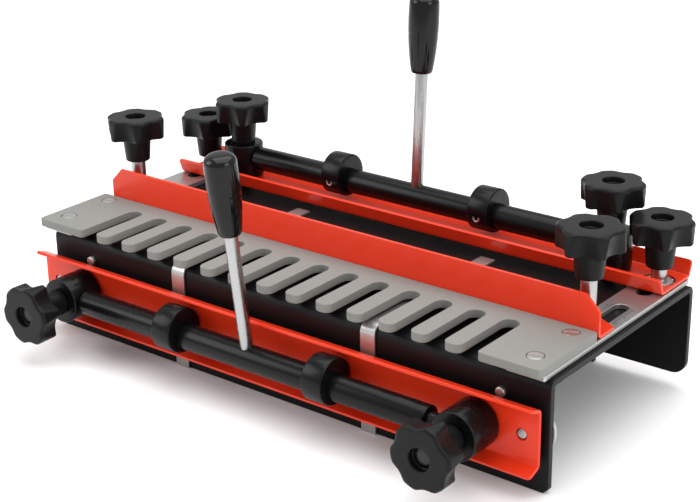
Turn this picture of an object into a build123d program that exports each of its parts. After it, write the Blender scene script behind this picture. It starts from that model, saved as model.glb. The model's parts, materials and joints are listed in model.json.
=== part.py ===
from build123d import *
import math
import os

# Dovetail jig for 12 inch boards, half-blind comb. Millimetres, X along the length, Z up.
# Driving dimensions are written with Y = 0 on the front face of the base and X = 0 mid-length.
# Everything is moved back by origin_y when it is written, so the origin is the middle of the footprint.

# Clearances
run_clear = 0.1          # radial, between a stud or axle and what turns or slides on it
fit_clear = 0.05         # radial, between pieces that are fixed to each other
slide_clear = 0.3        # between faces that pass each other

# Base: folded sheet, open underneath
base_length = 383.0
base_depth = 159.0
base_height = 66.7
sheet = 4.0
bend_radius = sheet + 1.0
corner_cut = 3.0         # lower outer corners of the front flange
left_relief = 7.5        # the front flange stops this far short of the top's left end
left_relief_depth = 12.0
rear_step_height = 8.6   # the rear flange steps up this much near each end
rear_step_length = 62.0
rear_corner = 9.0

# Studs
stud_radius = 4.0
nut_flats = 2 * stud_radius + 5.0
nut_height = 5.5
sleeve_radius = stud_radius + 0.8
arm_washer_radius = 8.2
arm_washer_thickness = 1.6

# Star knobs
knob_radius = 19.3
knob_head = 14.0
knob_hub = 16.0
hub_low_radius = 8.0
hub_high_radius = 9.3
lobe_count = 6
flute_radius = 11.0
flute_depth = 3.4
flute_lean = 9.0
knob_edge = 2.0
insert_radius = stud_radius + 1.6
insert_roof = 1.8
recess_radius = insert_radius + 1.0
recess_depth = 4.0
stud_end_gap = 0.7

# Stop pins for the board edges, a quarter pitch off centre
stop_margin = 22.4       # the pins' spacing is the comb's pattern and this
stop_radius = 3.0
stop_out = 2.4
stop_z = base_height - 14.2
stop_y = 25.0
stop_head_radius = 5.0
stop_head_height = 2.0

# Comb template and its two arms
pitch = 22.225
slot_width = 11.0
comb_length = base_length - 4.4
comb_front = -7.5
comb_rear = 51.3
comb_thickness = 5.3
slot_end = 38.5          # furthest point of each slot
finger_round = 4.6
comb_corner = 2.5
arm_x = base_length / 2 - 14.3
arm_width = 24.0
arm_thickness = 3.1
arm_front = -3.0
arm_rear = base_depth - 1.5
arm_slot_width = 2 * stud_radius + 1.4
slot_before_stud = 6.0   # the front slot starts this far in front of the fence's stud
slot_past_stud = 16.0    # the opening for the fence's stud goes on this far behind it
arm_web = 27.0           # from the front slot's end to the rear slot's start
screw_ys = (7.0, 43.0)
screw_head_radius = 5.0
screw_shaft_radius = 2.5
screw_head_height = 2.6
screw_slot_width = 1.2
screw_slot_depth = 1.0

# Fence: an angle, its foot on the arms
fence_length = base_length - 11.6
fence_thickness = 2.0
fence_top = base_height + 28.5
fence_foot = 24.0
fence_chamfer = 9.0
foot_corner_x = 13.4     # the foot's rear corners are cut off at a slant
foot_corner_y = 7.1
fence_shift = 3.5        # the fence sits this far to the right of the middle, its studs don't
fence_stud_x = arm_x - 4.4
fence_stud_y = comb_rear + 16.3
fence_hub_z = base_height + 31.5
arm_hub_z = base_height + 14.2

# Clamp channels
clamp_y = base_depth - 17.0     # the top clamp's centre line
clamp_z = base_height - 32.5    # the front clamp's centre line
channel_length = base_length - 6.0
channel_web = 34.0
channel_thickness = 2.0
flange_height = 10.0
flange_lean = 20.0
flange_corner = 1.5
front_hole_radius = 3.4
top_hole_radius = hub_high_radius + slide_clear   # lets the arm knob's hub through
locator_x = base_length / 2 - 14.0
locator_radius = 3.0
locator_collar_radius = 5.5
locator_collar_height = 1.4
locator_washer_radius = 15.0
locator_washer_thickness = 2.0

# Cam bars, posts and rings
axis_height = 14.6       # cam axis above the channel's web
post_radii = {"front": 14.3, "top": 13.2}
front_post_x = base_length / 2 - 41.0
top_post_x = arm_x - knob_radius - post_radii["top"] - 0.2
post_gap = 1.0           # from the web to the post
post_beyond = 9.5        # from the cam axis to the post's outer end
post_chamfer = 0.8
tube_radius = 8.0
tube_bore = tube_radius - 3.0
tube_gaps = {"front": (0.6, 6.7), "top": (0.6, 0.6)}
pin_wall = 1.0           # metal left between the end pin and the stud
pin_in_tube = 20.0
ring_x = 58.0
ring_width = 14.5
ring_radius = tube_radius + 6.0
ring_offset = 3.5
set_screw_radius = 2.5
set_screw_socket = 1.25
set_screw_inset = 0.3

# Levers
rod_radius = 4.0
rod_start = 2.5          # the rod's inner end, below the cam axis
grip_start = 81.0
grip_end = 130.0
grip_low_radius = rod_radius + 2.5
grip_high_radius = 9.6
grip_socket = 20.0
grip_dome = 7.5
grip_foot = 1.2
front_lever_lean = 7.5   # from upright, towards the front
top_lever_lean = 3.7     # from upright, towards the rear
lever_x = {"front": 0.0, "top": 3.3}

# Backing strips that the boards bear on
strip_x = 73.0
strip_width = 10.3
strip_thickness = 1.5
strip_rear = clamp_y - 22.0

# Worked out from the above
stop_room = 2 * (arm_x - arm_width / 2 - stop_radius - slide_clear)
finger_count = int((stop_room - stop_margin - pitch / 2) / pitch)
stop_spacing = finger_count * pitch + stop_margin
arm_low = base_height + slide_clear - run_clear
arm_top = arm_low + arm_thickness
rear_slot_start = clamp_y - 17.2
front_slot_start = fence_stud_y - slot_before_stud
front_slot_end = rear_slot_start - arm_web
fence_low = arm_top + slide_clear - run_clear
fence_front = comb_rear + slide_clear
channel_gap = arm_top - base_height + slide_clear   # from the base's face to the channel when shut
web_outer = channel_gap + channel_thickness
axis_out = web_outer + axis_height
post_start = web_outer + post_gap
post_end = axis_out + post_beyond
clamp_hub = post_end + slide_clear
knob_length = knob_head + knob_hub
insert_length = knob_length - recess_depth
stud_reach = insert_length - insert_roof - stud_end_gap
flange_reach = flange_height * math.tan(math.radians(flange_lean))
front_most = -clamp_hub - knob_length
rear_most = max(base_depth, clamp_y + channel_web / 2 + flange_reach)
origin_y = (front_most + rear_most) / 2

parts = {}
sides = {"left": -1, "right": 1}


def at(x, y, z):
    return Location((x, y, z))


def cylinder_up(radius, height, z=0.0):
    return Pos(0, 0, z) * Cylinder(radius, height, align=(Align.CENTER, Align.CENTER, Align.MIN))


def block(x0, x1, y0, y1, z0, z1):
    return Pos((x0 + x1) / 2, (y0 + y1) / 2, (z0 + z1) / 2) * Box(x1 - x0, y1 - y0, z1 - z0)


def together(solids):
    return Compound(children=[s for shape in solids for s in shape.solids()])


def clamp_location(kind):
    """Where a clamp sits: X along the jig, Z away from the base's face."""
    if kind == "front":
        return Plane(origin=(0, 0, clamp_z), x_dir=(1, 0, 0), z_dir=(0, -1, 0)).location
    return Plane(origin=(0, clamp_y, base_height), x_dir=(1, 0, 0), z_dir=(0, 0, 1)).location


def post_x(kind):
    return front_post_x if kind == "front" else top_post_x


def shut_turn(kind):
    """Turn of the cam about X from the lever pointing straight out to where it rests."""
    return front_lever_lean - 90.0 if kind == "front" else -top_lever_lean


def stop_centres(shift):
    return [side * stop_spacing / 2 + shift * pitch / 4 for side in (-1, 1)]


# ---------------------------------------------------------------- base
def make_base():
    half = base_length / 2
    outer = block(-half, half, 0, base_depth, 0, base_height)
    bends = outer.edges().filter_by(Axis.X).group_by(Axis.Z)[-1]
    outer = fillet(bends, bend_radius)
    inner = block(-half, half, sheet, base_depth - sheet, 0, base_height - sheet)
    bends = inner.edges().filter_by(Axis.X).group_by(Axis.Z)[-1]
    inner = fillet(bends, bend_radius - sheet)
    shape = outer - inner
    shape -= block(-half, left_relief - half, 0, left_relief_depth, 0, base_height)
    for side in (-1, 1):
        flange_end = side * half if side > 0 else left_relief - half
        wedge = Plane.XZ * Polyline(
            (flange_end, 0), (flange_end - side * corner_cut, 0), (flange_end, corner_cut), close=True
        )
        shape -= extrude(make_face(wedge), -sheet, both=True)
        low, high = sorted((side * half, side * (half - rear_step_length)))
        step = block(low, high, base_depth - sheet, base_depth, 0, rear_step_height)
        shape -= step
        wedge = Plane.XZ.offset(-base_depth) * Polyline(
            (side * half, rear_step_height),
            (side * (half - rear_corner), rear_step_height),
            (side * half, rear_step_height + rear_corner),
            close=True,
        )
        shape -= extrude(make_face(wedge), sheet, both=True)
    for location, radius in base_holes():
        shape -= location * Cylinder(radius, 4 * sheet)
    return shape


def base_holes():
    """Every hole drilled through the sheet, as its place and radius."""
    holes = []
    hole = stud_radius + fit_clear
    for side in (-1, 1):
        holes.append((at(side * fence_stud_x, fence_stud_y, base_height), hole))
        holes.append((at(side * arm_x, clamp_y, base_height), hole))
        for kind in ("front", "top"):
            holes.append((clamp_location(kind) * at(side * post_x(kind), 0, 0), hole))
        holes.append((clamp_location("front") * at(side * locator_x, 0, 0), locator_radius + fit_clear))
    for x in stop_centres(1):
        holes.append((Location((x, 0, stop_z), (90, 0, 0)), stop_radius + fit_clear))
    for x in stop_centres(-1):
        holes.append((at(x, stop_y, base_height), stop_radius + fit_clear))
    return holes


def make_strip(x):
    """L-shaped strip that follows the base's front bend."""
    outside = block(-strip_width / 2, strip_width / 2, -strip_thickness, strip_rear, 0,
                    base_height + strip_thickness)
    corner = outside.edges().filter_by(Axis.X).group_by(Axis.Z)[-1].sort_by(Axis.Y)[0]
    outside = fillet(corner, bend_radius + strip_thickness)
    inside = block(-strip_width, strip_width, 0, 2 * base_depth, 0, base_height)
    corner = inside.edges().filter_by(Axis.X).group_by(Axis.Z)[-1].sort_by(Axis.Y)[0]
    inside = fillet(corner, bend_radius)
    return Pos(x, 0, 0) * (outside - inside)


def make_stop():
    """Pin through the sheet, with its riveted head behind; +Z is out of the base."""
    pin = cylinder_up(stop_radius, stop_out + sheet + stop_head_height, -sheet - stop_head_height)
    tip = pin.edges().group_by(Axis.Z)[-1]
    return chamfer(tip, stop_radius / 3) + cylinder_up(stop_head_radius, stop_head_height, -sheet - stop_head_height)


def make_stud(hub_height):
    """Hexagon-headed stud from under the sheet up into its knob; Z = 0 is the base's face."""
    head = extrude(RegularPolygon(nut_flats / 2, 6, major_radius=False), -nut_height)
    shaft = cylinder_up(stud_radius, sheet + hub_height + stud_reach, 0)
    shaft = chamfer(shaft.edges().group_by(Axis.Z)[-1], stud_radius / 5)
    return Pos(0, 0, -sheet) * (head + shaft)


def make_tube(outer, inner, low, high):
    return cylinder_up(outer, high - low, low) - cylinder_up(inner, high - low, low)


def make_locator():
    """Pin that lines up the end of the front channel, with a collar outside and threads behind."""
    tail = sheet + locator_washer_thickness + nut_height + 1.5
    pin = cylinder_up(locator_radius, tail + web_outer - 0.6, -tail)
    return pin + cylinder_up(locator_collar_radius, locator_collar_height)


def make_nut(radius, flats, height):
    return extrude(RegularPolygon(flats / 2, 6, major_radius=False), height) - cylinder_up(
        radius + fit_clear, height
    )


# ---------------------------------------------------------------- template
def make_comb():
    half = comb_length / 2
    plate = block(-half, half, comb_front, comb_rear, arm_top, arm_top + comb_thickness)
    plate = fillet(plate.edges().filter_by(Axis.Z), comb_corner)
    round_y = slot_end - slot_width / 2
    for j in range(finger_count + 1):
        x = (j - finger_count / 2) * pitch
        low = arm_top
        high = arm_top + comb_thickness
        plate -= block(x - slot_width / 2, x + slot_width / 2, comb_front, round_y, low, high)
        plate -= Pos(x, round_y, low) * cylinder_up(slot_width / 2, comb_thickness)
    tips = plate.edges().filter_by(Axis.Z).filter_by(
        lambda e: abs(e.center().Y - comb_front) < 0.01 and abs(e.center().X) < half - pitch / 2
    )
    plate = fillet(tips, finger_round)
    for place in screw_places():
        plate -= place * screw_shape(fit_clear)
    return plate


def screw_places():
    return [at(side * arm_x, y, arm_top + comb_thickness) for side in (-1, 1) for y in screw_ys]


def screw_shape(clearance):
    """Countersunk screw, Z = 0 at its head's face; with a clearance it is the hole for it."""
    length = comb_thickness + arm_thickness
    head = Pos(0, 0, -screw_head_height / 2) * Cone(
        screw_shaft_radius + clearance, screw_head_radius + clearance, screw_head_height
    )
    return head + cylinder_up(screw_shaft_radius + clearance, length, -length)


def make_screw():
    slot = Box(3 * screw_head_radius, screw_slot_width, 2 * screw_slot_depth)
    return screw_shape(0) - Rot(0, 0, 25) * slot


def make_arm(side):
    x = side * arm_x
    strip = block(x - arm_width / 2, x + arm_width / 2, arm_front, arm_rear, arm_low, arm_top)
    slots = [(front_slot_start, front_slot_end), (rear_slot_start, arm_rear + arm_slot_width)]
    for start, end in slots:
        strip -= block(x - arm_slot_width / 2, x + arm_slot_width / 2, start, end, arm_low, arm_top)
        for y in (start, end):
            strip -= Pos(x, y, arm_low) * cylinder_up(arm_slot_width / 2, arm_thickness)
    stud_x = side * fence_stud_x
    low, high = sorted((x, stud_x - side * arm_slot_width / 2))
    strip -= block(low, high, front_slot_start, fence_stud_y + slot_past_stud, arm_low, arm_top)
    for place in screw_places():
        strip -= place * screw_shape(fit_clear)
    return strip


# ---------------------------------------------------------------- fence
def make_fence():
    half = fence_length / 2
    plate = block(-half, half, fence_front, fence_front + fence_thickness, fence_low, fence_top)
    corners = plate.edges().filter_by(Axis.Y).group_by(Axis.Z)[-1]
    plate = chamfer(corners, fence_chamfer)
    foot_rear = fence_front + fence_foot
    outline = [(-half, fence_front), (half, fence_front), (half, foot_rear - foot_corner_y),
               (half - foot_corner_x, foot_rear), (foot_corner_x - half, foot_rear),
               (-half, foot_rear - foot_corner_y)]
    foot = Pos(0, 0, fence_low) * extrude(make_face(Polyline(*outline, close=True)), fence_thickness)
    for side in (-1, 1):
        hole_x = side * fence_stud_x - fence_shift
        foot -= Pos(hole_x, fence_stud_y, 0) * cylinder_up(stud_radius + fit_clear, fence_top)
    return Pos(fence_shift, 0, 0) * (plate + foot)


# ---------------------------------------------------------------- clamps, in the clamp's own frame
def make_channel(kind):
    lean = math.radians(flange_lean)
    reach = flange_reach
    wall = channel_thickness / math.cos(lean)
    root = channel_web / 2
    low = channel_gap
    points = []
    for side in (-1, 1):
        outside = [(side * (root + reach), low + flange_height), (side * root, low)]
        points += outside if side < 0 else outside[::-1]
    inner_root = root + channel_thickness * math.tan(lean) - wall
    inner_tip = root + reach - wall
    points += [(inner_tip, low + flange_height), (inner_root, low + channel_thickness)]
    points += [(-inner_root, low + channel_thickness), (-inner_tip, low + flange_height)]
    section = Plane.YZ * make_face(Polyline(*points, close=True))
    shape = extrude(section, channel_length / 2, both=True)
    for end in (-1, 1):
        for side in (-1, 1):
            tip = Plane(origin=(end * channel_length / 2, side * (root + reach), low + flange_height),
                        x_dir=(1, 0, 0), z_dir=(0, 1, 0))
            shape -= tip * Rot(0, 0, 45) * Box(flange_corner * 2**0.5, flange_corner * 2**0.5,
                                               4 * reach)
    hole = top_hole_radius if kind == "top" else front_hole_radius
    hole_x = arm_x if kind == "top" else locator_x
    for side in (-1, 1):
        shape -= Pos(side * hole_x, 0, low) * cylinder_up(hole, channel_thickness)
        shape -= Pos(side * post_x(kind), 0, low) * cylinder_up(stud_radius + slide_clear, channel_thickness)
    return shape


def pin_end(kind):
    """Distance from the middle of the jig to the outer end of a cam bar's end pin."""
    return post_x(kind) - stud_radius - run_clear - pin_wall


def make_post(kind, side):
    height = post_end - post_start
    post = cylinder_up(post_radii[kind], height)
    post = chamfer(post.edges().group_by(Axis.Z)[-1], post_chamfer)
    post -= cylinder_up(stud_radius + run_clear, height)
    depth = post_radii[kind] + 1
    socket = Pos(-side * (post_x(kind) - pin_end(kind) + depth / 2 - slide_clear), 0, axis_out - post_start)
    post -= socket * Rot(0, 90, 0) * Cylinder(tube_bore - fit_clear + run_clear, depth)
    return Pos(side * post_x(kind), 0, post_start) * post


def tube_ends(kind):
    gaps = tube_gaps[kind]
    reach = post_x(kind) - post_radii[kind]
    return gaps[0] - reach, reach - gaps[1]


def along_x(radius, x0, x1):
    return Pos((x0 + x1) / 2, 0, 0) * Rot(0, 90, 0) * Cylinder(radius, x1 - x0)


def make_cam_tube(kind):
    start, end = tube_ends(kind)
    tube = along_x(tube_radius, start, end) - along_x(tube_bore, start, end)
    return tube - Pos(lever_x[kind], 0, 0) * cylinder_up(rod_radius + fit_clear, 2 * tube_radius)


def make_cam_pin(kind, side):
    start, end = tube_ends(kind)
    inner = (start if side < 0 else end) - side * pin_in_tube
    low, high = sorted((inner, side * pin_end(kind)))
    return along_x(tube_bore - fit_clear, low, high)


def set_screw_side(kind):
    return 1 if kind == "front" else -1


def make_ring(kind, side):
    half = ring_width / 2
    ring = Pos(0, 0, ring_offset) * along_x(ring_radius, -half, half)
    ring = chamfer(ring.edges(), 0.6)
    ring -= along_x(tube_radius + fit_clear, -half, half)
    turn = Rot(-90 * set_screw_side(kind), 0, 0)
    ring -= turn * cylinder_up(set_screw_radius + fit_clear, ring_radius)
    return Pos(side * ring_x, 0, 0) * ring


def make_set_screw(kind, side):
    surface = math.sqrt(ring_radius**2 - ring_offset**2) - set_screw_inset
    screw = cylinder_up(set_screw_radius, surface - tube_radius, tube_radius)
    socket = extrude(RegularPolygon(set_screw_socket, 6, major_radius=False), 1.8)
    screw -= Pos(0, 0, surface - 1.8) * socket
    return Pos(side * ring_x, 0, 0) * Rot(-90 * set_screw_side(kind), 0, 0) * screw


def make_rod():
    return cylinder_up(rod_radius, grip_start + grip_socket + rod_start, -rod_start)


def make_grip():
    """Turned grip: a cone that widens to a domed end, bored for the rod."""
    length = grip_end - grip_start
    grip = Pos(0, 0, grip_start + length / 2) * Cone(grip_low_radius, grip_high_radius, length)
    grip = fillet(grip.edges().group_by(Axis.Z)[-1], grip_dome)
    grip = fillet(grip.edges().group_by(Axis.Z)[0], grip_foot)
    return grip - cylinder_up(rod_radius + fit_clear, grip_socket, grip_start)


# ---------------------------------------------------------------- knobs, Z = 0 at the hub's foot
def make_knob():
    head = cylinder_up(knob_radius, knob_head, knob_hub)
    head = fillet(head.edges().group_by(Axis.Z)[-1], knob_edge)
    head = chamfer(head.edges().group_by(Axis.Z)[0], knob_edge / 2)
    flute_place = knob_radius + flute_radius - flute_depth
    for i in range(lobe_count):
        turn = Rot(0, 0, (i + 0.5) * 360 / lobe_count)
        flute = Pos(flute_place, 0, knob_hub) * Rot(0, flute_lean, 0) * Cylinder(flute_radius, 3 * knob_head)
        head -= turn * flute
    hub = Pos(0, 0, knob_hub / 2) * Cone(hub_low_radius, hub_high_radius, knob_hub)
    knob = head + hub
    knob -= cylinder_up(recess_radius, recess_depth, insert_length)
    return knob - cylinder_up(insert_radius + fit_clear, insert_length)


def make_insert():
    """Threaded bush moulded into a knob, closed at its top."""
    bush = cylinder_up(insert_radius, insert_length)
    bush = chamfer(bush.edges().group_by(Axis.Z)[-1], 1.0)
    return bush - cylinder_up(stud_radius + run_clear, insert_length - insert_roof)


def add_knob(name, location, turn):
    parts[name] = location * Rot(0, 0, turn) * make_knob()
    parts[name + "_insert"] = location * make_insert()


# ---------------------------------------------------------------- assembly
parts["base_frame"] = make_base()
parts["backing_strips"] = together([make_strip(side * strip_x) for side in (-1, 1)])
front_face = Plane(origin=(0, 0, stop_z), x_dir=(1, 0, 0), z_dir=(0, -1, 0)).location
parts["front_stop_pins"] = together([front_face * at(x, 0, 0) * make_stop() for x in stop_centres(1)])
parts["top_stop_pins"] = together([at(x, stop_y, base_height) * make_stop() for x in stop_centres(-1)])
parts["fence"] = make_fence()

parts["comb_template"] = make_comb()
parts["comb_screws"] = together([place * make_screw() for place in screw_places()])
for side_name, side in sides.items():
    parts["template_arm_" + side_name] = make_arm(side)

fence_foot_top = fence_low + fence_thickness
for group, y, hub_z, turn in (("fence", fence_stud_y, fence_hub_z, 20), ("arm", clamp_y, arm_hub_z, 5)):
    reach = fence_stud_x if group == "fence" else arm_x
    places = {name: at(side * reach, y, 0) for name, side in sides.items()}
    studs = [place * at(0, 0, base_height) * make_stud(hub_z - base_height) for place in places.values()]
    parts[group + "_studs"] = together(studs)
    foot = fence_foot_top if group == "fence" else arm_top + slide_clear + arm_washer_thickness
    sleeve = make_tube(sleeve_radius, stud_radius + fit_clear, foot, hub_z - slide_clear)
    parts[group + "_sleeves"] = together([place * sleeve for place in places.values()])
    if group == "arm":
        washer = make_tube(arm_washer_radius, stud_radius + fit_clear, arm_top + slide_clear, foot)
        parts["arm_washers"] = together([place * washer for place in places.values()])
    for name, place in places.items():
        add_knob(group + "_knob_" + name, place * at(0, 0, hub_z), turn)

for kind in ("front", "top"):
    clamp = clamp_location(kind)
    cam = clamp * Location((0, 0, axis_out), (shut_turn(kind), 0, 0))
    studs = [clamp * at(side * post_x(kind), 0, 0) * make_stud(clamp_hub) for side in (-1, 1)]
    parts[kind + "_clamp_studs"] = together(studs)
    parts[kind + "_clamp_channel"] = clamp * make_channel(kind)
    parts[kind + "_cam_tube"] = cam * make_cam_tube(kind)
    parts[kind + "_cam_pins"] = together([cam * make_cam_pin(kind, side) for side in (-1, 1)])
    parts[kind + "_set_screws"] = together([cam * make_set_screw(kind, side) for side in (-1, 1)])
    lever = cam * at(lever_x[kind], 0, 0)
    parts[kind + "_lever_rod"] = lever * make_rod()
    parts[kind + "_lever_grip"] = lever * make_grip()
    for name, side in sides.items():
        parts[kind + "_cam_ring_" + name] = cam * make_ring(kind, side)
        parts[kind + "_post_" + name] = clamp * make_post(kind, side)
        add_knob(kind + "_knob_" + name, clamp * at(side * post_x(kind), 0, clamp_hub), 10)

front = clamp_location("front")
locators = [front * at(side * locator_x, 0, 0) for side in (-1, 1)]
parts["locating_pins"] = together([place * make_locator() for place in locators])
inner_face = -sheet - locator_washer_thickness
washer = make_tube(locator_washer_radius, locator_radius + fit_clear, inner_face, -sheet)
parts["locating_washers"] = together([place * washer for place in locators])
nut = Pos(0, 0, inner_face - nut_height) * make_nut(locator_radius, nut_flats, nut_height)
parts["locating_nuts"] = together([place * nut for place in locators])

if __name__ == "__main__":
    os.makedirs("parts", exist_ok=True)
    for name, shape in parts.items():
        solids = [Pos(0, -origin_y, 0) * s for s in shape.solids()]
        export_step(solids[0] if len(solids) == 1 else Compound(children=solids), f"parts/{name}.step")
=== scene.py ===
import json
import math
import bmesh
import bpy
import numpy as np
from mathutils import Matrix, Vector
from mathutils.geometry import delaunay_2d_cdt


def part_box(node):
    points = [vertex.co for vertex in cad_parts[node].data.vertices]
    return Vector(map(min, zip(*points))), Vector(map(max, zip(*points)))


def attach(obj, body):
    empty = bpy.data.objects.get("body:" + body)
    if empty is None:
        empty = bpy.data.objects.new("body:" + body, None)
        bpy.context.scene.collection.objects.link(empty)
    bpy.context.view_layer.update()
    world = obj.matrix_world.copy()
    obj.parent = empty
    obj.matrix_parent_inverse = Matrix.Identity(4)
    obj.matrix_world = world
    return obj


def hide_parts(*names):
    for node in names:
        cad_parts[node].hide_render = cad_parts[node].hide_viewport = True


# Dovetail jig: painted sheet steel, a cast comb, two cam bars with levers, and eight star knobs.
# Shapes are worked out in millimetres and go into the meshes in metres.
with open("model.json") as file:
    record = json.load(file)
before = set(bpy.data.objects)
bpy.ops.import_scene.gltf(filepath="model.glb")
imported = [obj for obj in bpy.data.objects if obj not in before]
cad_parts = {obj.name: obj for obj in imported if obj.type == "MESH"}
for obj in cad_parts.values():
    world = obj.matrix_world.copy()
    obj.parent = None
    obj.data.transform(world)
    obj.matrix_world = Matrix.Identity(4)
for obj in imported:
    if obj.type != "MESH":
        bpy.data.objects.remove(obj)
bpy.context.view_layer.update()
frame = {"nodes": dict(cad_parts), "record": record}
mm = 0.001
sides = {"left": -1, "right": 1}
upTurn = np.eye(3)                                              # rows are a piece's own X, Y and Z
frontTurn = np.array([[1.0, 0, 0], [0, 0, 1.0], [0, -1.0, 0]])  # own Z points at the front
bodyOf = {node: body for body, nodes in frame["record"]["behaviour"]["bodies"].items() for node in nodes}
print("frame loaded:", len(frame["nodes"]), "nodes")


def nodeBox(node):
    # Lowest and highest corner of a CAD node, in millimetres
    return np.array([list(corner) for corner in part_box(node)]) / mm


baseLow, baseHigh = nodeBox("base_frame")


def clampPlace(kind):
    # A clamp's origin on the base's face, in line with its cam bar, and its own axes
    middle = nodeBox(kind + "_cam_tube").mean(0)
    if kind == "front":
        return np.array([0, baseLow[1], middle[2]]), frontTurn
    return np.array([0, middle[1], baseHigh[2]]), upTurn


def inClamp(kind, node):
    # A node's box in its clamp's own axes
    origin, turn = clampPlace(kind)
    corners = (nodeBox(node) - origin) @ turn.T
    return corners.min(0), corners.max(0)


def gridFaces(rows, columns, closeRows=False, closeColumns=True):
    # Quads between neighbouring grid points; a closed direction joins its last line to its first
    row, column = np.meshgrid(
        np.arange(rows if closeRows else rows - 1),
        np.arange(columns if closeColumns else columns - 1),
        indexing="ij",
    )
    nextRow, nextColumn = (row + 1) % rows, (column + 1) % columns
    corners = [row * columns + column, row * columns + nextColumn,
               nextRow * columns + nextColumn, nextRow * columns + column]
    return np.stack(corners, -1).reshape(-1, 4).tolist()


def spin(radius, height, closed=False):
    # Polar surface: x = r cos a, y = r sin a, z = h, with r and h on a grid of rows by angles
    angle = np.linspace(0, 2 * np.pi, radius.shape[1], endpoint=False)
    height = np.broadcast_to(height, radius.shape)
    points = np.stack([radius * np.cos(angle), radius * np.sin(angle), height], -1)
    return points.reshape(-1, 3), gridFaces(*radius.shape, closed)


def rounded(corners, radii, steps=3, closed=False):
    # Each corner becomes an arc tangent to both sides: it starts radius * tan(turn / 2) before the corner
    corners = np.array(corners, float)
    radii = np.broadcast_to(radii, len(corners))
    line = []
    for i, (corner, radius) in enumerate(zip(corners, radii)):
        if radius <= 0 or (not closed and i in (0, len(corners) - 1)):
            line.append(corner[None])
            continue
        before = corner - corners[i - 1]
        after = corners[(i + 1) % len(corners)] - corner
        before, after = before / np.linalg.norm(before), after / np.linalg.norm(after)
        turn = math.atan2(before[0] * after[1] - before[1] * after[0], before @ after)
        if abs(turn) < 1e-3:
            line.append(corner[None])
            continue
        start = corner - before * radius * math.tan(abs(turn) / 2)
        side = np.array([-before[1], before[0]]) * math.copysign(1, turn)
        centre = start + side * radius
        angle = np.linspace(0, turn, steps + 1)[:, None]
        arm = start - centre
        line.append(centre + np.cos(angle) * arm + np.sin(angle) * np.array([-arm[1], arm[0]]))
    return np.concatenate(line)


def lathe(corners, radii=0.3, count=64, closed=False, steps=3):
    # A rounded outline of (radius, height) corners, turned about Z
    line = rounded(corners, radii, steps, closed)
    return spin(np.repeat(line[:, :1], count, 1), line[:, 1:], closed)


def tube(outer, inner, low, high, edge=0.4, count=64):
    # A wall between two radii, with its four edges rounded
    corners = [(inner, low), (outer, low), (outer, high), (inner, high)]
    return lathe(corners, (edge / 2, edge, edge, edge / 2), count, True)


def rod(radius, low, high, edge=0.4, count=48):
    return lathe([(0, low), (radius, low), (radius, high), (0, high)], edge, count)


def hexagon(flats, low, high, bore=0.0, cut=0.5):
    # Across the corners r = flats / 2 / cos(a), and a cone takes the corners off at both ends
    angle = np.linspace(0, 2 * np.pi, 72, endpoint=False)
    side = flats / 2 / np.cos((angle + np.pi / 6) % (np.pi / 3) - np.pi / 6)
    height = np.array([low, low, low + cut, low + 2 * cut, high - 2 * cut, high - cut, high, high])
    cone = flats / 2 + np.minimum(height - low, high - height) * 1.6
    radius = np.minimum(side[None], cone[:, None])
    radius[[0, -1]] = bore
    return spin(radius, height[:, None], bore > 0)


def thread(radius, low, high, pitch, depth):
    # Helical ridge: r drops by depth times a triangle wave of height / pitch less the turn
    height = np.arange(low, high, pitch / 6)
    turn = np.linspace(0, 1, 36, endpoint=False)
    wave = (height[:, None] / pitch - turn) % 1
    surface = radius - depth * np.abs(2 * wave - 1)
    ends = np.zeros((1, len(turn)))
    surface = np.concatenate([ends, surface, ends])
    height = np.concatenate([[low], height, [height[-1]]])
    return spin(surface, height[:, None])


def place(shape, origin, turn=upTurn):
    points, faces = shape
    return np.asarray(origin, float) + points @ turn, faces


def alongX(shape):
    # Z of a turned shape becomes X
    points, faces = shape
    return points[:, [2, 0, 1]], faces


def together(shapes):
    starts = np.cumsum([0] + [len(points) for points, _ in shapes])
    faces = []
    for start, (_, group) in zip(starts, shapes):
        faces += [[start + corner for corner in face] for face in group]
    return np.concatenate([points for points, _ in shapes]), faces


# Flat patterns of sheet metal


def circle(x, y, radius, count=32):
    angle = np.linspace(0, 2 * np.pi, count, endpoint=False)
    return np.stack([x + radius * np.cos(angle), y + radius * np.sin(angle)], -1)


def slot(x, start, end, radius, count=12):
    # Two straight sides and two half circles
    angle = np.linspace(0, np.pi, count + 1)
    arc = np.stack([radius * np.cos(angle), radius * np.sin(angle)], -1)
    return np.concatenate([[x, end] + arc, [x, start] - arc])


def inside(points, loop):
    # Even-odd test: a point is inside when a line from it towards +x crosses the loop an odd number of times
    x, y = points[:, :1], points[:, 1:]
    start, end = loop.T, np.roll(loop, -1, 0).T
    spans = (start[1] > y) != (end[1] > y)
    rise = np.where(end[1] == start[1], 1.0, end[1] - start[1])
    crossing = start[0] + (y - start[1]) * (end[0] - start[0]) / rise
    return (spans & (x < crossing)).sum(1) % 2 == 1


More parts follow.
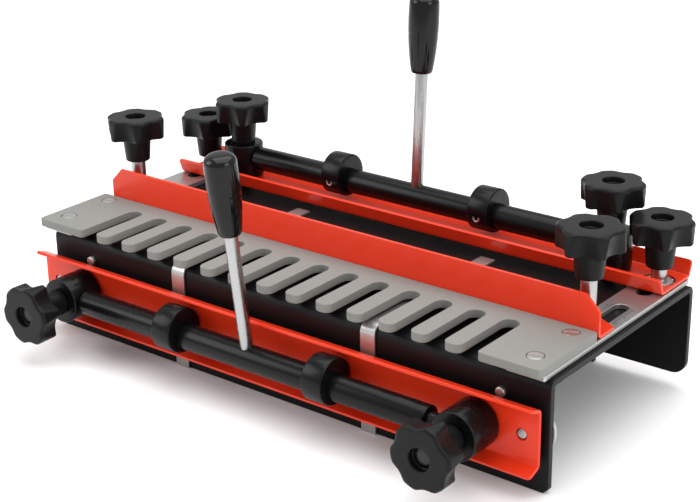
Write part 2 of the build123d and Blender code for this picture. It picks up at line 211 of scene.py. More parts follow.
def bentSheet(loops, path):
    # A flat outline of (x, s), then its holes, cut on each bend line and carried along a path of (y, z):
    # s is the way along the path, so a point (x, s) goes to x and the path's y and z there.
    # Triangles with their middle inside a hole are left out
    points = np.concatenate(loops)
    starts = np.cumsum([0] + [len(loop) for loop in loops])
    edges = [np.stack([np.arange(n), np.roll(np.arange(n), -1)], -1) + start
             for start, n in zip(starts, [len(loop) for loop in loops])]
    flat = delaunay_2d_cdt([Vector(p) for p in points.tolist()], np.concatenate(edges).tolist(), [], 1, 1e-5)
    corners = np.array([list(p) for p in flat[0]])
    triangles = np.array(flat[2])
    middle = corners[triangles].mean(1)
    keep = np.ones(len(triangles), bool)
    for loop in loops[1:]:
        keep &= ~inside(middle, loop)
    mesh = bpy.data.meshes.new("flat")
    mesh.from_pydata(np.pad(corners, ((0, 0), (0, 1))).tolist(), [], triangles[keep].tolist())
    work = bmesh.new()
    work.from_mesh(mesh)
    bmesh.ops.delete(work, geom=[v for v in work.verts if not v.link_faces], context="VERTS")
    bmesh.ops.dissolve_limit(work, angle_limit=0.01, verts=work.verts, edges=work.edges)
    path = np.array(path, float)
    way = np.concatenate([[0], np.cumsum(np.linalg.norm(np.diff(path, axis=0), axis=1))])
    for s in way[1:-1]:
        everything = work.verts[:] + work.edges[:] + work.faces[:]
        bmesh.ops.bisect_plane(work, geom=everything, plane_co=(0, s, 0), plane_no=(0, 1, 0), dist=1e-4)
    work.to_mesh(mesh)
    work.free()
    flatPoints = np.zeros(len(mesh.vertices) * 3)
    mesh.vertices.foreach_get("co", flatPoints)
    x, s, _ = flatPoints.reshape(-1, 3).T
    faces = [list(face.vertices) for face in mesh.polygons]
    bpy.data.meshes.remove(mesh)
    return np.stack([x, np.interp(s, way, path[:, 0]), np.interp(s, way, path[:, 1])], -1), faces


def pathLength(path):
    return np.linalg.norm(np.diff(path, axis=0), axis=1).sum()


# Pieces


def makePiece(name, shapes, nodes, material, body=None, sheet=None, bevel=None, clean=True):
    # Puts the points in the mesh, closes poles and seams, and stands for the CAD nodes
    points, faces = together(shapes)
    mesh = bpy.data.meshes.new(name)
    mesh.from_pydata((points * mm).tolist(), [], faces)
    if clean:
        work = bmesh.new()
        work.from_mesh(mesh)
        bmesh.ops.remove_doubles(work, verts=work.verts, dist=1e-6)
        if not sheet:
            bmesh.ops.recalc_face_normals(work, faces=work.faces)
        work.to_mesh(mesh)
        work.free()
    mesh.shade_smooth()
    mesh.set_sharp_from_angle(angle=math.radians(38))
    piece = bpy.data.objects.new(name, mesh)
    bpy.context.scene.collection.objects.link(piece)
    piece.data.materials.append(material)
    if sheet:
        thickness, offset = sheet
        wall = piece.modifiers.new("wall", "SOLIDIFY")
        wall.thickness = thickness * mm
        wall.offset = offset
        wall.use_even_offset = True
        wall.use_quality_normals = True
    if bevel:
        edge = piece.modifiers.new("edge", "BEVEL")
        edge.width = bevel * mm
        edge.segments = 3
        edge.limit_method = "ANGLE"
        edge.angle_limit = math.radians(50)
        edge.use_clamp_overlap = False
        weigh = piece.modifiers.new("weigh", "WEIGHTED_NORMAL")
        weigh.keep_sharp = True
    nodes = [nodes] if isinstance(nodes, str) else nodes
    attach(piece, body or bodyOf[nodes[0]])
    if nodes:
        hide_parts(*nodes)
    return piece


# Materials


def makeMaterial(name, color, roughness, metallic=0.0, coat=0.0, coatRoughness=0.1, specular=0.5,
                 tint=0.06, tintScale=60.0, grain=0.1, grainScale=900.0, depth=0.05, stretch=(1, 1, 1),
                 roughSpread=0.06, fleck=0.0):
    # One noise varies the colour and the roughness slowly, a finer one gives the surface its grain
    material = bpy.data.materials.new(name)
    material.use_nodes = True
    nodes, links = material.node_tree.nodes, material.node_tree.links
    shader = nodes["Principled BSDF"]
    shader.inputs["Metallic"].default_value = metallic
    shader.inputs["Coat Weight"].default_value = coat
    shader.inputs["Coat Roughness"].default_value = coatRoughness
    shader.inputs["Specular IOR Level"].default_value = specular
    where = nodes.new("ShaderNodeTexCoord")
    stretched = nodes.new("ShaderNodeMapping")
    stretched.inputs["Scale"].default_value = stretch
    links.new(where.outputs["Object"], stretched.inputs["Vector"])

    broad = nodes.new("ShaderNodeTexNoise")
    broad.inputs["Scale"].default_value = tintScale
    broad.inputs["Detail"].default_value = 4
    links.new(where.outputs["Object"], broad.inputs["Vector"])
    fine = nodes.new("ShaderNodeTexNoise")
    fine.inputs["Scale"].default_value = grainScale
    fine.inputs["Detail"].default_value = 3
    links.new(stretched.outputs["Vector"], fine.inputs["Vector"])

    blend = nodes.new("ShaderNodeMix")
    blend.data_type = "RGBA"
    dark = [c * (1 - tint) for c in color]
    light = [min(1.0, c * (1 + tint)) for c in color]
    blend.inputs["A"].default_value = (*dark, 1)
    blend.inputs["B"].default_value = (*light, 1)
    amount = nodes.new("ShaderNodeMath")
    amount.operation = "MULTIPLY_ADD"
    amount.inputs[1].default_value = 1 - fleck
    links.new(broad.outputs["Fac"], amount.inputs[0])
    speck = nodes.new("ShaderNodeMapRange")
    speck.inputs["From Min"].default_value = 0.35
    speck.inputs["From Max"].default_value = 0.65
    speck.inputs["To Max"].default_value = fleck
    links.new(fine.outputs["Fac"], speck.inputs["Value"])
    links.new(speck.outputs["Result"], amount.inputs[2])
    links.new(amount.outputs["Value"], blend.inputs["Factor"])
    links.new(blend.outputs["Result"], shader.inputs["Base Color"])

    polish = nodes.new("ShaderNodeMapRange")
    polish.inputs["From Min"].default_value = 0.3
    polish.inputs["From Max"].default_value = 0.7
    polish.inputs["To Min"].default_value = max(0.02, roughness - roughSpread)
    polish.inputs["To Max"].default_value = roughness + roughSpread
    links.new(fine.outputs["Fac"], polish.inputs["Value"])
    links.new(polish.outputs["Result"], shader.inputs["Roughness"])

    bump = nodes.new("ShaderNodeBump")
    bump.inputs["Strength"].default_value = grain
    bump.inputs["Distance"].default_value = depth * mm
    links.new(fine.outputs["Fac"], bump.inputs["Height"])
    links.new(bump.outputs["Normal"], shader.inputs["Normal"])
    return material


paintRed = makeMaterial("paintRed", (0.76, 0.036, 0.008), 0.32, coat=0.15, coatRoughness=0.14, specular=0.3,
                        tint=0.02, tintScale=25, grain=0.10, grainScale=420, depth=0.04, roughSpread=0.03)
baseBlack = makeMaterial("baseBlack", (0.0035, 0.0038, 0.0042), 0.42, specular=0.18, tint=0.2, grain=0.3,
                         grainScale=1500, depth=0.04)
barBlack = makeMaterial("barBlack", (0.0025, 0.0028, 0.003), 0.27, coat=0.03, coatRoughness=0.2,
                        specular=0.16, tint=0.2, grain=0.12, grainScale=1300, depth=0.03)
knobBlack = makeMaterial("knobBlack", (0.0045, 0.005, 0.0052), 0.36, specular=0.16, tint=0.2, grain=0.4,
                         grainScale=2200, depth=0.04, roughSpread=0.06)
gripBlack = makeMaterial("gripBlack", (0.003, 0.0033, 0.0036), 0.13, coat=0.10, coatRoughness=0.06,
                         specular=0.22, tint=0.2, grain=0.08, grainScale=300, depth=0.04, roughSpread=0.03)
combGrey = makeMaterial("combGrey", (0.225, 0.225, 0.21), 0.62, metallic=0.1, specular=0.25, tint=0.12,
                        tintScale=500, grain=0.7, grainScale=2400, depth=0.09, roughSpread=0.06, fleck=0.7)
zincPlate = makeMaterial("zincPlate", (0.46, 0.46, 0.45), 0.38, metallic=0.9, tint=0.10, tintScale=140,
                         grain=0.25, grainScale=1200, depth=0.03, roughSpread=0.08)
brightSteel = makeMaterial("brightSteel", (0.42, 0.42, 0.42), 0.28, metallic=1.0, tint=0.05, grain=0.2,
                           grainScale=1500, depth=0.02, stretch=(1, 1, 0.05), roughSpread=0.06)
dullSteel = makeMaterial("dullSteel", (0.035, 0.036, 0.037), 0.30, metallic=0.9, tint=0.15, grain=0.3,
                         grainScale=1500, depth=0.03, roughSpread=0.08)
markBlack = makeMaterial("markBlack", (0.02, 0.02, 0.02), 0.6, specular=0.1, tint=0.1, grain=0.1)
print("materials made")

# Base
base = {"sheet": 4.0, "bend": 5.0, "cornerCut": 3.0, "leftRelief": 7.5, "reliefDepth": 12.0,
        "stepHeight": 8.6, "stepLength": 62.0, "rearCorner": 9.0, "edge": 0.5}


def makeBase():
    half = baseHigh[0]
    depth, height = baseHigh[1] - baseLow[1], baseHigh[2]
    path = rounded([(0, 0), (0, height), (depth, height), (depth, 0)], (0, base["bend"], base["bend"], 0), 6)
    total = pathLength(path)
    saved = base["bend"] * (2 - math.pi / 2)         # a bend is shorter than its corner by this
    relief = height - saved + base["reliefDepth"]
    step, corner = total - base["stepHeight"], base["rearCorner"]
    left, cut = base["leftRelief"] - half, base["cornerCut"]
    outline = [(left + cut, 0), (half - cut, 0), (half, cut)]
    outline += [(half, step), (half - base["stepLength"], step), (half - base["stepLength"], total),
                (base["stepLength"] - half, total), (base["stepLength"] - half, step), (-half, step)]
    outline += [(-half, relief), (left, relief), (left, cut)]
    radii = [corner if point in ((half, step), (-half, step)) else 0 for point in outline]
    shape = bentSheet([rounded(outline, radii, 8, True)], path)
    shape = place(shape, (0, baseLow[1], 0))
    makePiece("baseFrame", [shape], "base_frame", baseBlack,
              sheet=(base["sheet"], -1), bevel=base["edge"])


makeBase()

# Backing strips, bright zinc over the front bend
strip = {"thickness": 1.5, "width": 10.3, "edge": 0.35}


def makeStrips():
    high = nodeBox("backing_strips")[1]
    width = strip["width"]
    path = rounded([(0, 0), (0, baseHigh[2]), (high[1] - baseLow[1], baseHigh[2])], (0, base["bend"], 0), 8)
    shapes = []
    for side in sides.values():
        x = side * (high[0] - width / 2)
        loop = np.array([(x - width / 2, 0), (x + width / 2, 0), (x + width / 2, pathLength(path)),
                         (x - width / 2, pathLength(path))])
        shapes.append(place(bentSheet([loop], path), (0, baseLow[1], 0)))
    makePiece("backingStrips", shapes, "backing_strips", zincPlate,
              sheet=(strip["thickness"], 1), bevel=strip["edge"])


makeStrips()

# Fence
fence = {"sheet": 2.0, "bend": 1.6, "chamfer": 9.0, "cornerX": 13.4, "cornerY": 7.1, "edge": 0.45}


def makeFence():
    low, high = nodeBox("fence")
    path = rounded([(low[1], high[2]), (low[1], low[2]), (high[1], low[2])], (0, fence["bend"] + 2, 0), 6)
    left, right, total = low[0], high[0], pathLength(path)
    chamfer, cornerX, cornerY = fence["chamfer"], fence["cornerX"], total - fence["cornerY"]
    loop = np.array([(left + chamfer, 0), (right - chamfer, 0), (right, chamfer), (right, cornerY),
                     (right - cornerX, total), (left + cornerX, total), (left, cornerY), (left, chamfer)])
    makePiece("fencePlate", [bentSheet([loop], path)], "fence", paintRed,
              sheet=(fence["sheet"], 1), bevel=fence["edge"])


makeFence()

# Comb, its screws and arms
comb = {"pitch": 22.225, "slotWidth": 11.0, "slotEnd": 46.0, "tipRadius": 4.6, "cornerRadius": 2.5,
        "screwRows": (14.5, 50.5), "edge": 0.45}
arms = {"slotWidth": 9.4, "beforeStud": 6.0, "pastStud": 16.0, "frontEnd": 100.8, "rearSlot": 127.8,
        "edge": 0.3}
screw = {"head": 5.0, "gap": 0.35, "seat": 5.05, "inset": 0.15, "slotWidth": 1.5, "slotDepth": 1.0}
screwX = nodeBox("comb_screws")[1][0] - screw["head"]
# Across the comb, and back from its front edge
screwCentres = [(side * screwX, along) for side in (-1, 1) for along in comb["screwRows"]]
# The studs' hexagon heads have their flats towards Y, so their corners reach further along X
fenceStuds = nodeBox("fence_studs")
headFlats = fenceStuds[1][1] - fenceStuds[0][1]
fenceStudX = fenceStuds[1][0] - headFlats / 2 / math.cos(math.pi / 6)
fenceStudY = fenceStuds.mean(0)[1]


def makeComb():
    low, high = nodeBox("comb_template")
    width, length = high[0] - low[0], high[1] - low[1]
    pitch, gap, radius = comb["pitch"], comb["slotWidth"], comb["slotWidth"] / 2
    slots = int((width - 2 * pitch) / pitch) - 1
    angle = np.linspace(math.pi, 0, 17)
    slotEnd = np.stack([radius * np.cos(angle), comb["slotEnd"] - radius + radius * np.sin(angle)], -1)
    corners, radii = [(low[0], length), (low[0], 0)], [comb["cornerRadius"], comb["cornerRadius"]]
    for j in range(slots):
        x = (j - (slots - 1) / 2) * pitch
        tip = comb["tipRadius"]
        corners += [(x - gap / 2, 0), *(slotEnd + [x, 0]).tolist(), (x + gap / 2, 0)]
        radii += [tip if j else comb["cornerRadius"], *[0] * len(slotEnd),
                  tip if j < slots - 1 else comb["cornerRadius"]]
    corners += [(high[0], 0), (high[0], length)]
    radii += [comb["cornerRadius"], comb["cornerRadius"]]
    outline = rounded(corners, radii, 7, closed=True)
    holes = [circle(x, along, screw["seat"]) for x, along in screwCentres]
    path = [(low[1], high[2]), (high[1], high[2])]
    shape = bentSheet([outline, *holes], path)
    makePiece("combTemplate", [shape], "comb_template", combGrey,
              sheet=(high[2] - low[2], -1), bevel=comb["edge"])


def makeScrews():
    # The head's face drops inside a straight slot: depth times a smooth step of the way from its middle
    low, high = nodeBox("comb_template")
    head = screw["head"] - screw["gap"]
    ring = np.linspace(0, head, 40)
    edge = np.array([head + 0.02, head])
    radius = np.repeat(np.concatenate([ring, edge, [0]])[:, None], 96, 1)
    angle = np.linspace(0, 2 * np.pi, 96, endpoint=False)
    across = np.abs(radius * np.sin(angle - 0.4))
    dip = np.clip((screw["slotWidth"] / 2 + 0.15 - across) / 0.3, 0, 1)
    height = -screw["slotDepth"] * dip * dip * (3 - 2 * dip) * (radius < head - 0.3)
    height = height - 0.35 * np.clip(radius / head - 0.9, 0, 1) * 4
    height[-2:] = -2.5
    shapes = [place(spin(radius, height), (x, low[1] + along, high[2] - screw["inset"]))
              for x, along in screwCentres]
    makePiece("combScrews", shapes, "comb_screws", zincPlate)


def makeArms():
    for name, side in sides.items():
        node = "template_arm_" + name
        low, high = nodeBox(node)
        length = high[1] - low[1]
        x, radius = (low[0] + high[0]) / 2, arms["slotWidth"] / 2
        angle = np.linspace(0, np.pi, 13)
        fork = np.stack([x + radius * np.cos(angle), arms["rearSlot"] - radius * np.sin(angle)], -1)
        outline = rounded(
            [(low[0], 0), (high[0], 0), (high[0], length), (x + radius, length), *fork.tolist(),
             (x - radius, length), (low[0], length)],
            [1, 1, 1, 0.5, *[0] * len(fork), 0.5, 1], 4, closed=True)
        # One opening: the slot that shows, and the stud's room beside it under the fence's foot
        studY = fenceStudY - low[1]
        start, roomEnd = studY - arms["beforeStud"], studY + arms["pastStud"]
        studX = side * fenceStudX - side * radius
        hole = slot(x, start, arms["frontEnd"], radius)
        room = np.array([(x, start), (studX, start), (studX, roomEnd), (x, roomEnd)])
        shape = bentSheet([outline, hole, room], [(low[1], high[2]), (high[1], high[2])])
        makePiece("templateArm_" + name, [shape], node, zincPlate,
                  sheet=(high[2] - low[2], -1), bevel=arms["edge"])


scale = {"spacing": 2.0, "line": 0.45, "short": 2.2, "long": 3.8, "inset": 0.9, "proud": 0.05,
         "fromStud": 9.0, "pastSlot": 2.0}


def makeScale(name):
    # Fine lines beside the arm's front slot: a quad each, repeated by adding a row of places to one outline
    low, high = nodeBox("template_arm_" + name)
    start = fenceStudY + scale["fromStud"]
    y = np.arange(start, low[1] + arms["frontEnd"] + scale["pastSlot"], scale["spacing"])
    length = np.where(np.arange(len(y)) % 5 == 0, scale["long"], scale["short"])
    shapes = []
    for side in (-1, 1):
        inner = (low[0] + high[0]) / 2 + side * (arms["slotWidth"] / 2 + scale["inset"])
        outer = inner + side * length
        x = np.stack([inner + 0 * length, outer, outer, inner + 0 * length], -1)
        line = y[:, None] + scale["line"] / 2 * np.array([-1, -1, 1, 1])
        if side < 0:
            x = x[:, ::-1]
        z = np.full_like(x, high[2] + scale["proud"])
        points = np.stack([x, line, z], -1).reshape(-1, 3)
        shapes.append((points, np.arange(len(points)).reshape(-1, 4).tolist()))
    makePiece("armScale_" + name, shapes, [], markBlack, body="template", clean=False)


makeComb()
makeScrews()
makeArms()
for name in sides:
    makeScale(name)
print("comb, fence and base made")

# Clamp channels
channel = {"sheet": 2.0, "bend": 1.2, "web": 34.0, "corner": 1.5, "endHole": {"front": 3.4, "top": 9.6},
           "holeInset": {"front": 5.5, "top": 7.2}, "edge": 0.4}


def makeChannel(kind):
    low, high = inClamp(kind, kind + "_clamp_channel")
    root, foot = channel["web"] / 2, low[2]
    path = rounded([(low[1], high[2]), (-root, foot), (root, foot), (high[1], high[2])],
                   (0, channel["bend"] + 2, channel["bend"] + 2, 0), 6)
    half, total, corner = high[0], pathLength(path), channel["corner"]
    loop = np.array([(corner - half, 0), (half - corner, 0), (half, corner), (half, total - corner),
                     (half - corner, total), (corner - half, total), (-half, total - corner),
                     (-half, corner)])
    holeNode = "locating_pins" if kind == "front" else "arm_studs"
    holeX = nodeBox(holeNode)[1][0] - channel["holeInset"][kind]
    holes = [circle(side * holeX, total / 2, channel["endHole"][kind]) for side in sides.values()]
    shape = place(bentSheet([loop, *holes], path), *clampPlace(kind))
    makePiece(kind + "ClampChannel", [shape], kind + "_clamp_channel", paintRed,
              sheet=(channel["sheet"], 1), bevel=channel["edge"])


# Cam bars, posts and rings, about the cam's own axes: Z along the lever
bar = {"radius": 8.0, "bore": 5.0, "postBore": 4.1, "postEdge": 0.9, "pin": 4.95,
       "pinInside": 20.0, "ring": 14.0, "ringWidth": 14.5, "ringOffset": 3.5, "ringEdge": 0.9,
       "screw": 2.5, "screwProud": 0.2, "frontLean": 7.5, "topLean": 3.7}


def camPlace(kind):
    # The cam's axes turn about X from straight out to where the lever rests
    origin, turn = clampPlace(kind)
    low, high = inClamp(kind, kind + "_cam_tube")
    lean = math.radians(bar["frontLean"] - 90 if kind == "front" else -bar["topLean"])
    camTurn = np.array([[1, 0, 0], [0, math.cos(lean), math.sin(lean)], [0, -math.sin(lean), math.cos(lean)]])
    return origin + np.array([0, 0, (low[2] + high[2]) / 2]) @ turn, camTurn @ turn


def makeRing(kind, name, side):
    # Every row is a circle with its own centre, radius and place along X: bore, face, rim, face
    low, high = inClamp(kind, kind + "_cam_ring_" + name)
    half, edge = bar["ringWidth"] / 2, bar["ringEdge"]
    line = rounded([(bar["radius"], -half), (bar["ring"], -half), (bar["ring"], half), (bar["radius"], half)],
                   (0.3, edge, edge, 0.3), 4, True)
    share = (line[:, :1] - bar["radius"]) / (bar["ring"] - bar["radius"])
    angle = np.linspace(0, 2 * np.pi, 72, endpoint=False)
    offset = bar["ringOffset"] * share
    x = np.repeat(line[:, 1:] + (low[0] + high[0]) / 2, 72, 1)
    points = np.stack([x, line[:, :1] * np.cos(angle), line[:, :1] * np.sin(angle) + offset], -1)
    shape = place((points.reshape(-1, 3), gridFaces(len(line), 72, True)), *camPlace(kind))
    makePiece(f"{kind}CamRing_{name}", [shape], f"{kind}_cam_ring_{name}", barBlack)
    return (low[0] + high[0]) / 2


def makeCam(kind):
    low, high = inClamp(kind, kind + "_cam_tube")
    pinLow, pinHigh = inClamp(kind, kind + "_cam_pins")
    body = tube(bar["radius"], bar["bore"], low[0], high[0], 0.8)
    makePiece(kind + "CamTube", [place(alongX(body), *camPlace(kind))], kind + "_cam_tube",
              barBlack)
    pins = [rod(bar["pin"], pinLow[0], low[0] + bar["pinInside"]),
            rod(bar["pin"], high[0] - bar["pinInside"], pinHigh[0])]
    makePiece(kind + "CamPins", [place(alongX(pin), *camPlace(kind)) for pin in pins], kind + "_cam_pins",
              barBlack)
    facing = -1 if kind == "top" else 1
    surface = math.sqrt(bar["ring"] ** 2 - bar["ringOffset"] ** 2) + bar["screwProud"]
    socket = [(0, surface - 1.5), (1.4, surface - 1.5), (1.4, surface), (bar["screw"], surface),
              (bar["screw"], surface - 5), (0, surface - 5)]
    screws = []
    origin, turn = camPlace(kind)
    outward = np.array([[1, 0, 0], [0, 0, -facing], [0, facing, 0]]) @ turn
    for name, side in sides.items():
        x = makeRing(kind, name, side)
        screws.append(place(lathe(socket, 0.25, 24), origin + np.array([x, 0, 0]), outward))
    makePiece(kind + "SetScrews", screws, kind + "_set_screws", zincPlate)
    for name in sides:
        node = f"{kind}_post_{name}"
        low, high = inClamp(kind, node)
        x = (low[0] + high[0]) / 2
        clampOrigin, clampTurn = clampPlace(kind)
        shape = tube((high[0] - low[0]) / 2, bar["postBore"], low[2], high[2], bar["postEdge"], 96)
        shape = place(shape, clampOrigin + np.array([x, 0, 0]), clampTurn)
        makePiece(f"{kind}Post_{name}", [shape], node, barBlack)


# Levers
lever = {"rod": 4.0, "foot": -2.5, "gripStart": 81.0, "gripEnd": 130.0, "inGrip": 20.0,
         "gripLow": 6.6, "gripHigh": 9.6, "widest": 0.66, "topRadius": 9.1, "dome": 5.2}
gripStart, gripEnd = lever["gripStart"], lever["gripEnd"]


def gripProfile():
    # r swells as the sine of the way up to the widest place, shrinks a little above it,
    # and a dome that starts as an ellipse's quarter closes the end
    length = gripEnd - gripStart
    side = np.linspace(0, 1 - lever["dome"] / length, 40)
    swell = np.sin(np.pi / 2 * np.clip(side / lever["widest"], 0, 1)) ** 0.85
    radius = lever["gripLow"] + (lever["gripHigh"] - lever["gripLow"]) * swell
    above = np.clip((side - lever["widest"]) / (1 - lever["widest"]), 0, 1)
    radius -= (lever["gripHigh"] - lever["topRadius"]) * above ** 2
    turn = np.linspace(0, np.pi / 2, 16)[1:]
    topRadius = radius[-1] * np.cos(turn) ** 0.62
    topHeight = gripEnd - lever["dome"] + lever["dome"] * np.sin(turn)
    foot = [(lever["rod"], gripStart + 0.3), (radius[0] - 0.8, gripStart),
            (radius[0] - 0.25, gripStart + 0.25)]
    line = np.stack([radius, gripStart + side * length], -1)
    line[0] += [0.02, 0.8]
    # A faint parting ring
    line[:, 0] -= 0.12 * np.exp(-(((side - 0.5) * length / 0.7) ** 2))
    return np.concatenate([foot, line, np.stack([topRadius, topHeight], -1)])


def makeLever(kind):
    origin, turn = camPlace(kind)
    low, high = inClamp(kind, kind + "_lever_rod")
    origin = origin + np.array([(low[0] + high[0]) / 2, 0, 0])
    steel = rod(lever["rod"], lever["foot"], gripStart + lever["inGrip"], 0.4, 64)
    makePiece(kind + "LeverRod", [place(steel, origin, turn)], kind + "_lever_rod",
              brightSteel)
    line = gripProfile()
    inner = np.array([[lever["rod"], gripStart + lever["inGrip"]], [lever["rod"], gripStart + 0.3]])
    top = np.array([[0, gripStart + lever["inGrip"]]])
    line = np.concatenate([top, inner, line[1:]])
    line[-1, 0] = 0
    shape = spin(np.repeat(line[:, :1], 80, 1), line[:, 1:])
    makePiece(kind + "LeverGrip", [place(shape, origin, turn)], kind + "_lever_grip",
              gripBlack)


for kind in ("front", "top"):
    makeChannel(kind)
    makeCam(kind)
    makeLever(kind)
print("clamps made")

# Star knobs and what they turn on
knob = {"radius": 19.3, "head": 14.0, "hub": 16.0, "hubLow": 8.0, "hubHigh": 9.3, "lobes": 6,
        "fluteRadius": 13.0, "fluteDepth": 4.6, "fluteLean": 11.5, "edge": 2.2, "under": 1.0,
        "recess": 6.6, "recessDepth": 4.0, "bore": 5.65, "blend": 1.6, "count": 192,
        "insertBore": 4.1, "insertRoof": 1.8,
        "turn": {"fence": 20, "arm": 5, "front": 10, "top": 10}}


def softMin(a, b, width):
    # Smooth lower envelope: where a and b are within width of each other, they blend as a parabola
    share = np.clip(0.5 + 0.5 * (b - a) / width, 0, 1)
    return b * (1 - share) + a * share - width * share * (1 - share)


def fluteSide(height, angle):
    # Radius of the knob's side: its circle, and six leaning cylinders that cut deeper towards the hub.
    # A ray at angle a meets a cylinder at c cos a - sqrt(R^2 - c^2 sin^2 a)
    radius = knob["fluteRadius"]
    rise = (height - knob["hub"]) * math.tan(math.radians(knob["fluteLean"]))
    centre = knob["radius"] + radius - knob["fluteDepth"] + rise
    near = (angle % (2 * np.pi / knob["lobes"])) - np.pi / knob["lobes"]
    inside = radius ** 2 - (centre * np.sin(near)) ** 2
    cut = np.where(inside > 0, centre * np.cos(near) - np.sqrt(np.maximum(inside, 0)), 99.0)
    return softMin(cut, np.full_like(cut, knob["radius"]), knob["blend"])


def makeKnobShape():
    # Rows run up the bore's foot, hub, underside, fluted side, rounded edge, top, recess and bore
    angle = np.linspace(0, 2 * np.pi, knob["count"], endpoint=False)
    top, edge = knob["hub"] + knob["head"], knob["edge"]
    flat = np.ones_like(angle)
    rows = [(knob["bore"] * flat, 0), ((knob["hubLow"] - 0.4) * flat, 0), (knob["hubLow"] * flat, 0.4)]
    for share in np.linspace(0.1, 1, 6):
        rows.append(((knob["hubLow"] + (knob["hubHigh"] - knob["hubLow"]) * share) * flat,
                     (knob["hub"] - 0.6) * share))
    rows.append(((knob["hubHigh"] + 0.6) * flat, knob["hub"]))
    low = knob["hub"] + knob["under"]
    foot = fluteSide(low, angle)
    for share in (0.5, 0.9):
        rows.append(((knob["hubHigh"] + 0.6) * (1 - share) + (foot - knob["under"]) * share, knob["hub"]))
    for turn in np.linspace(0, np.pi / 2, 5):
        rows.append((foot - knob["under"] * (1 - math.sin(turn)), low - knob["under"] * math.cos(turn)))
    for height in np.linspace(low, top - edge, 22)[1:]:
        rows.append((fluteSide(height, angle), height))
    for turn in np.linspace(0, np.pi / 2, 9)[1:]:
        height = top - edge + edge * math.sin(turn)
        rows.append((fluteSide(height, angle) - edge * (1 - math.cos(turn)), height))
    rim = rows[-1][0]
    for share in (0.3, 0.6, 0.9):
        rows.append((rim * (1 - share) + (knob["recess"] + 0.6) * share, top))
    for turn in np.linspace(0, np.pi / 2, 4):
        rows.append(((knob["recess"] + 0.6 - 0.6 * math.sin(turn)) * flat, top - 0.6 + 0.6 * math.cos(turn)))
    floor = top - knob["recessDepth"]
    rows += [(knob["recess"] * flat, floor + 0.4), ((knob["recess"] - 0.4) * flat, floor),
             (knob["bore"] * flat, floor)]
    radius = np.stack([row[0] for row in rows])
    height = np.array([row[1] for row in rows])[:, None]
    return spin(radius, height, True)


def insertShape():
    # Closed bush: its bore, foot, wall and a low dome, as part of a circle, in the knob's recess
    wall, floor = knob["bore"] - 0.05, knob["hub"] + knob["head"] - knob["recessDepth"]
    turn = np.linspace(0.12, 1, 8) * np.pi / 2
    dome = np.stack([wall * np.cos(turn), floor - 0.2 + 1.3 * np.sin(turn)], -1)
    bore, roof = knob["insertBore"], floor - knob["insertRoof"]
    return np.concatenate([[(0, roof), (bore, roof), (bore, 0), (wall, 0), (wall, floor - 0.2)], dome])


def knobPlace(node, group):
    # A knob's box is centred on its stud; its foot is the end nearest the base
    low, high = nodeBox(node)
    middle = (low + high) / 2
    turn = frontTurn if group == "front" else upTurn
    origin = [middle[0], high[1], middle[2]] if group == "front" else [middle[0], middle[1], low[2]]
    return np.array(origin), turn


knobShape = makeKnobShape()
insertLine = insertShape()
insertSpun = spin(np.repeat(insertLine[:, :1], 48, 1), insertLine[:, 1:])
centres = {}
for group in ("fence", "arm", "front", "top"):
    for name in sides:
        node = f"{group}_knob_{name}"
        origin, turn = knobPlace(node, group)
        centres[group, name] = origin
        a = math.radians(knob["turn"][group])
        lobes = np.array([[math.cos(a), math.sin(a), 0], [-math.sin(a), math.cos(a), 0], [0, 0, 1]])
        makePiece(f"{group}Knob_{name}", [place(knobShape, origin, lobes @ turn)], node,
                  knobBlack)
        makePiece(f"{group}KnobInsert_{name}", [place(insertSpun, origin, turn)], node + "_insert",
                  dullSteel)
print("knobs made")

# Studs, sleeves, washers and pins
stud = {"radius": 4.0, "flats": 13.0, "head": 5.5, "washer": 8.2}


def makeStuds(node, group):
    # Hexagon head under the sheet and a shaft up into the knob, in the knob's own axes
    shapes = []
    for name in sides:
        origin, turn = centres[group, name], frontTurn if group == "front" else upTurn
        corners = (nodeBox(node) - origin) @ turn.T
        low, high = corners.min(0)[2], corners.max(0)[2]
        shapes.append(place(hexagon(stud["flats"], low, low + stud["head"]), origin, turn))
        shapes.append(place(rod(stud["radius"], low + stud["head"] - 0.2, high, 0.6, 40), origin, turn))
    makePiece(node.replace("_s", "S").replace("_c", "C"), shapes, node, zincPlate)


def makeTubes(pieceName, node, group, outer, material, edge=0.4):
    low, high = nodeBox(node)
    outer = outer or (high[1] - low[1]) / 2
    shapes = [place(tube(outer, stud["radius"], 0, high[2] - low[2], edge),
                    [centres[group, name][0], centres[group, name][1], low[2]]) for name in sides]
    makePiece(pieceName, shapes, node, material)


makeStuds("fence_studs", "fence")
makeStuds("arm_studs", "arm")
makeStuds("front_clamp_studs", "front")
makeStuds("top_clamp_studs", "top")
makeTubes("fenceSleeves", "fence_sleeves", "fence", None, brightSteel)
makeTubes("armSleeves", "arm_sleeves", "arm", None, brightSteel)
makeTubes("armWashers", "arm_washers", "arm", stud["washer"], zincPlate, 0.3)

locator = {"radius": 3.0, "collar": 5.5, "collarHeight": 1.4, "washer": 15.0, "flats": 13.0, "pitch": 1.0,
           "thread": 0.35}
stop = {"radius": 3.0, "head": 5.0, "headHeight": 2.0}


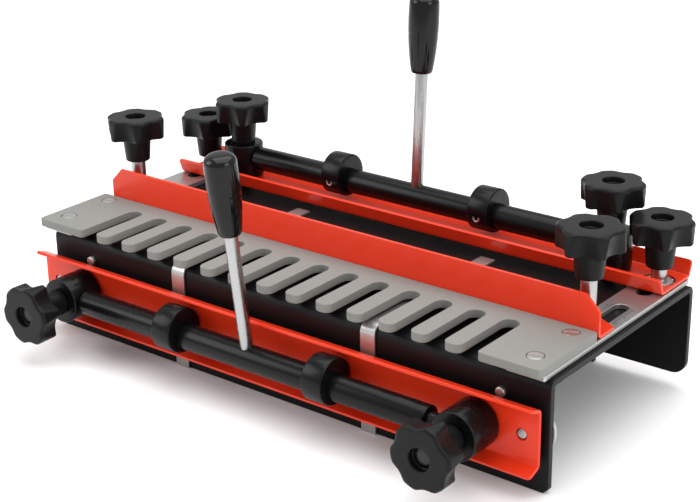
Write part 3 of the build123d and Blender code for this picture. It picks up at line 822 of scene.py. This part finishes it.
def makeLocators():
    low, high = inClamp("front", "locating_pins")
    washerLow, washerHigh = inClamp("front", "locating_washers")
    nutLow, nutHigh = inClamp("front", "locating_nuts")
    origin, turn = clampPlace("front")
    x = high[0] - locator["collar"]
    pins, washers, nuts = [], [], []
    for side in sides.values():
        spot = origin + np.array([side * x, 0, 0])
        pins.append(place(thread(locator["radius"], low[2], washerHigh[2], locator["pitch"],
                                 locator["thread"]), spot, turn))
        pins.append(place(rod(locator["radius"], washerHigh[2] - 0.5, high[2], 0.8), spot, turn))
        pins.append(place(rod(locator["collar"], 0, locator["collarHeight"], 0.3), spot, turn))
        washers.append(place(tube(locator["washer"], locator["radius"], washerLow[2], washerHigh[2], 0.4, 96),
                             spot, turn))
        nuts.append(place(hexagon(locator["flats"], nutLow[2], nutHigh[2], locator["radius"]), spot, turn))
    makePiece("locatingPins", pins, "locating_pins", zincPlate)
    makePiece("locatingWashers", washers, "locating_washers", zincPlate)
    makePiece("locatingNuts", nuts, "locating_nuts", zincPlate)


def makeStops(kind):
    node = kind + "_stop_pins"
    low, high = nodeBox(node)
    turn = frontTurn if kind == "front" else upTurn
    shapes = []
    for x in (low[0] + stop["head"], high[0] - stop["head"]):
        if kind == "front":
            origin = [x, baseLow[1], (low[2] + high[2]) / 2]
            inward, outward = baseLow[1] - high[1], baseLow[1] - low[1]
        else:
            origin = [x, (low[1] + high[1]) / 2, baseHigh[2]]
            inward, outward = low[2] - baseHigh[2], high[2] - baseHigh[2]
        shapes.append(place(rod(stop["radius"], inward, outward, 0.9), origin, turn))
        shapes.append(place(rod(stop["head"], inward, inward + stop["headHeight"], 0.6), origin, turn))
    makePiece(kind + "StopPins", shapes, node, zincPlate)


makeLocators()
makeStops("front")
makeStops("top")
print("small parts made")

# Floor, light and camera
studio = {"floor": 6.0, "floorColor": (0.93, 0.93, 0.93, 1), "world": 0.72}


def makeStudio():
    half = studio["floor"] / 2
    mesh = bpy.data.meshes.new("floor")
    corners = [(-half, -half, 0), (half, -half, 0), (half, half, 0), (-half, half, 0)]
    mesh.from_pydata(corners, [], [(0, 1, 2, 3)])
    floor = bpy.data.objects.new("floor", mesh)
    bpy.context.scene.collection.objects.link(floor)
    paper = bpy.data.materials.new("paper")
    paper.use_nodes = True
    shader = paper.node_tree.nodes["Principled BSDF"]
    shader.inputs["Base Color"].default_value = studio["floorColor"]
    shader.inputs["Roughness"].default_value = 0.9
    shader.inputs["Specular IOR Level"].default_value = 0.1
    mesh.materials.append(paper)

    world = bpy.data.worlds.new("studio")
    world.use_nodes = True
    sky = world.node_tree.nodes["Background"]
    sky.inputs["Color"].default_value = (1, 1, 1, 1)
    sky.inputs["Strength"].default_value = studio["world"]
    bpy.context.scene.world = world

    lights = {
        "overhead": ((0.1, 0.15, 1.3), (0.0, 0.05, 0.0), 1.6, 20),
        "leftBox": ((-1.1, -0.9, 0.9), (0, 0, 0.05), 0.9, 9),
        "rightBox": ((1.5, -0.1, 0.7), (0, 0, 0.05), 0.8, 7),
    }
    for name, (spot, target, size, power) in lights.items():
        data = bpy.data.lights.new(name, "AREA")
        data.shape = "SQUARE"
        data.size = size
        data.energy = power
        lamp = bpy.data.objects.new(name, data)
        lamp.location = spot
        lamp.rotation_euler = (Vector(target) - Vector(spot)).to_track_quat("-Z", "Y").to_euler()
        bpy.context.scene.collection.objects.link(lamp)


view = {"spot": (566.05, -637.03, 432.87), "yaw": 38.428, "dip": 21.749, "roll": -0.892, "lens": 81.64}


def makeCamera():
    data = bpy.data.cameras.new("camera")
    data.lens = view["lens"]
    data.sensor_width = 36
    camera = bpy.data.objects.new("camera", data)
    x, y, z = view["spot"]
    turn = Matrix.Rotation(math.radians(view["yaw"]), 4, "Z")
    turn = turn @ Matrix.Rotation(math.radians(90 - view["dip"]), 4, "X")
    turn = turn @ Matrix.Rotation(math.radians(view["roll"]), 4, "Z")
    camera.matrix_world = Matrix.Translation(Vector((x, y + baseLow[1], z)) * mm) @ turn
    bpy.context.scene.collection.objects.link(camera)
    bpy.context.scene.camera = camera


makeStudio()
makeCamera()
bpy.context.scene.view_settings.view_transform = "Standard"
print("studio made")
